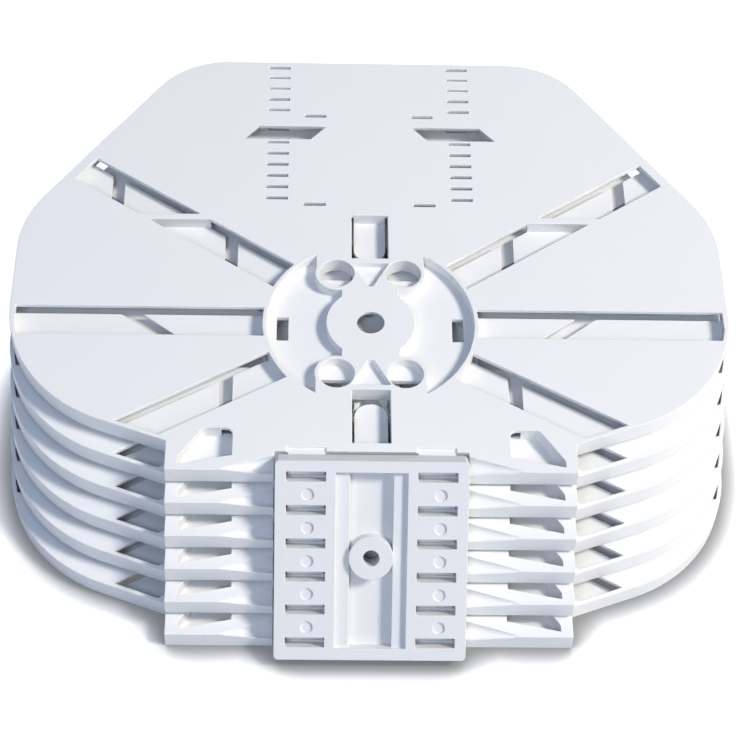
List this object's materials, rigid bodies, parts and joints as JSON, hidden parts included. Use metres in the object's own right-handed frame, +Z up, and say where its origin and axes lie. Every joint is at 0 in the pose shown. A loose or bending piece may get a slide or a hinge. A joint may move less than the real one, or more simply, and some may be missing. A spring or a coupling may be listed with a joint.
{
  "type": "fibre splice module",
  "caption": "Stair-stepped stack of white hinged fibre-optic splice trays, each with a round fibre hub, on a leaning slotted hinge block with a screw boss.",
  "frame": {"origin": "on the ground under the middle of the whole part's bounding box", "axes": "+X across the trays to the right, +Y from the hinge block to the trays' rear edge, +Z up"},
  "size_m": [0.2, 0.1888, 0.0439],
  "materials": {
    "white_plastic": "white moulded plastic with a soft satin sheen"
  },
  "bodies": {
    "tray_1": {"tray_1": "white_plastic"},
    "tray_2": {"tray_2": "white_plastic"},
    "tray_3": {"tray_3": "white_plastic"},
    "tray_4": {"tray_4": "white_plastic"},
    "tray_5": {"tray_5": "white_plastic"},
    "tray_6": {"tray_6": "white_plastic"},
    "hinge_block": {"hinge_block": "white_plastic"}
  },
  "joints": [
    {"name": "tray_6_hinge", "type": "hinge", "parent": "tray_6", "child": "hinge_block", "pos_m": [0, -0.08709, 0.0044], "axis": [1, 0, 0], "range_deg": [0, 60]},
    {"name": "tray_1_hinge", "type": "hinge", "parent": "hinge_block", "child": "tray_1", "pos_m": [0, -0.05698, 0.03784], "axis": [1, 0, 0], "range_deg": [-60, 0]},
    {"name": "tray_2_hinge", "type": "hinge", "parent": "hinge_block", "child": "tray_2", "pos_m": [0, -0.063, 0.03115], "axis": [1, 0, 0], "range_deg": [-60, 0]},
    {"name": "tray_3_hinge", "type": "hinge", "parent": "hinge_block", "child": "tray_3", "pos_m": [0, -0.06902, 0.02446], "axis": [1, 0, 0], "range_deg": [-60, 0]},
    {"name": "tray_4_hinge", "type": "hinge", "parent": "hinge_block", "child": "tray_4", "pos_m": [0, -0.07505, 0.01778], "axis": [1, 0, 0], "range_deg": [-60, 0]},
    {"name": "tray_5_hinge", "type": "hinge", "parent": "hinge_block", "child": "tray_5", "pos_m": [0, -0.08107, 0.01109], "axis": [1, 0, 0], "range_deg": [-60, 0]}
  ],
  "couplings": [
    {"joint": "tray_1_hinge", "follows": "tray_6_hinge", "ratio": -0.16667},
    {"joint": "tray_2_hinge", "follows": "tray_6_hinge", "ratio": -0.33333},
    {"joint": "tray_3_hinge", "follows": "tray_6_hinge", "ratio": -0.5},
    {"joint": "tray_4_hinge", "follows": "tray_6_hinge", "ratio": -0.66667},
    {"joint": "tray_5_hinge", "follows": "tray_6_hinge", "ratio": -0.83333}
  ]
}
